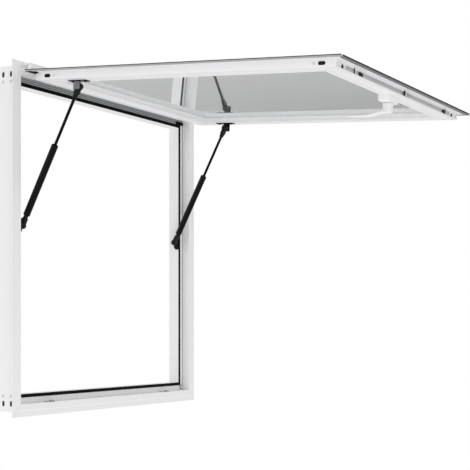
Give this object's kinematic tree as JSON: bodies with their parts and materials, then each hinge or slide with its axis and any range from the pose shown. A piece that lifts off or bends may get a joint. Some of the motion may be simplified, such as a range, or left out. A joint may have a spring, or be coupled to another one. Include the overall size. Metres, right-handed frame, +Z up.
{
  "type": "concession window",
  "caption": "Top-hung concession window in white aluminium: flanged frame, glazed awning leaf on a hook hinge, gas struts and a lever handle.",
  "frame": {"origin": "middle of the bottom flange strip, on the flange's back face that lies on the wall", "axes": "+Z up, +Y through the wall into the room, +X to the right seen from outside"},
  "size_m": [0.9144, 0.9651, 0.9144],
  "materials": {
    "white_aluminium": "white polyester powder coat, satin",
    "white_hinge": "white polyester powder coat, satin",
    "black_rubber": "matte",
    "grey_rubber": "matte",
    "light_rubber": "satin",
    "tinted_glass": "grey tinted, reflective",
    "black_steel": "black paint, satin",
    "black_rod": "black nitrided, satin",
    "black_plastic": "moulded, matte",
    "white_handle": "white powder coat, satin",
    "lock_aluminium": "plain, brushed",
    "zinc_steel": "zinc plated, satin",
    "dark_steel": "dark zinc, satin"
  },
  "bodies": {
    "window_frame": {"frame_sill": "white_aluminium", "frame_head": "white_aluminium", "frame_jamb_left": "white_aluminium", "frame_jamb_right": "white_aluminium", "frame_seal_sill": "black_rubber", "frame_seal_head": "black_rubber", "frame_seal_jamb_left": "black_rubber", "frame_seal_jamb_right": "black_rubber", "hinge_frame_half": "white_hinge", "strut_foot_left": "black_steel", "strut_foot_right": "black_steel", "lock_keeper_left": "zinc_steel", "lock_keeper_right": "zinc_steel"},
    "leaf": {"leaf_top_rail": "white_aluminium", "leaf_bottom_rail": "white_aluminium", "leaf_stile_left": "white_aluminium", "leaf_stile_right": "white_aluminium", "lip_gasket_top_rail": "grey_rubber", "lip_gasket_bottom_rail": "grey_rubber", "lip_gasket_stile_left": "grey_rubber", "lip_gasket_stile_right": "grey_rubber", "glass_pane": "tinted_glass", "glazing_gasket": "light_rubber", "hinge_leaf_half": "white_hinge", "strut_bracket_left": "black_steel", "strut_bracket_right": "black_steel", "handle_base": "white_handle", "lock_guide_left": "lock_aluminium", "lock_guide_right": "lock_aluminium"},
    "strut_rod_left": {"strut_rod_left": "black_rod", "strut_upper_socket_left": "black_plastic"},
    "strut_rod_right": {"strut_rod_right": "black_rod", "strut_upper_socket_right": "black_plastic"},
    "strut_barrel_left": {"strut_barrel_left": "black_steel", "strut_lower_socket_left": "black_plastic", "strut_lower_stud_left": "black_steel"},
    "strut_barrel_right": {"strut_barrel_right": "black_steel", "strut_lower_socket_right": "black_plastic", "strut_lower_stud_right": "black_steel"},
    "handle": {"handle_lever": "white_handle"},
    "lock": {"lock_bar": "lock_aluminium", "latch_block": "lock_aluminium", "roller_cam_left": "dark_steel", "roller_cam_right": "dark_steel"}
  },
  "joints": [
    {"name": "leaf_hinge", "type": "hinge", "parent": "window_frame", "child": "leaf", "pos_m": [0, -0.0258, 0.8915], "axis": [1, 0, 0], "range_deg": [0, 86.75]},
    {"name": "strut_swing_left", "type": "hinge", "parent": "leaf", "child": "strut_rod_left", "pos_m": [-0.3832, -0.15601, 0.83503], "axis": [-1, 0, 0], "range_deg": [0, 113.98]},
    {"name": "strut_stroke_left", "type": "slide", "parent": "strut_rod_left", "child": "strut_barrel_left", "axis": [0, -0.4635, 0.8861], "range_m": [0, 0.12121]},
    {"name": "strut_swing_right", "type": "hinge", "parent": "leaf", "child": "strut_rod_right", "pos_m": [0.3832, -0.15601, 0.83503], "axis": [-1, 0, 0], "range_deg": [0, 113.98]},
    {"name": "strut_stroke_right", "type": "slide", "parent": "strut_rod_right", "child": "strut_barrel_right", "axis": [0, -0.4635, 0.8861], "range_m": [0, 0.12121]},
    {"name": "handle_turn", "type": "hinge", "parent": "leaf", "child": "handle", "pos_m": [0, -0.84113, 0.79482], "axis": [0, 0.0567, -0.9984], "range_deg": [0, 90]},
    {"name": "lock_slide", "type": "slide", "parent": "leaf", "child": "lock", "axis": [-1, 0, 0], "range_m": [0, 0.015]}
  ],
  "couplings": [
    {"joint": "strut_swing_left", "follows": "leaf_hinge", "ratio": 1.3139},
    {"joint": "strut_stroke_left", "follows": "leaf_hinge", "m_per_rad": 0.080052},
    {"joint": "strut_swing_right", "follows": "leaf_hinge", "ratio": 1.3139},
    {"joint": "strut_stroke_right", "follows": "leaf_hinge", "m_per_rad": 0.080052},
    {"joint": "lock_slide", "follows": "handle_turn", "m_per_rad": 0.009549}
  ]
}
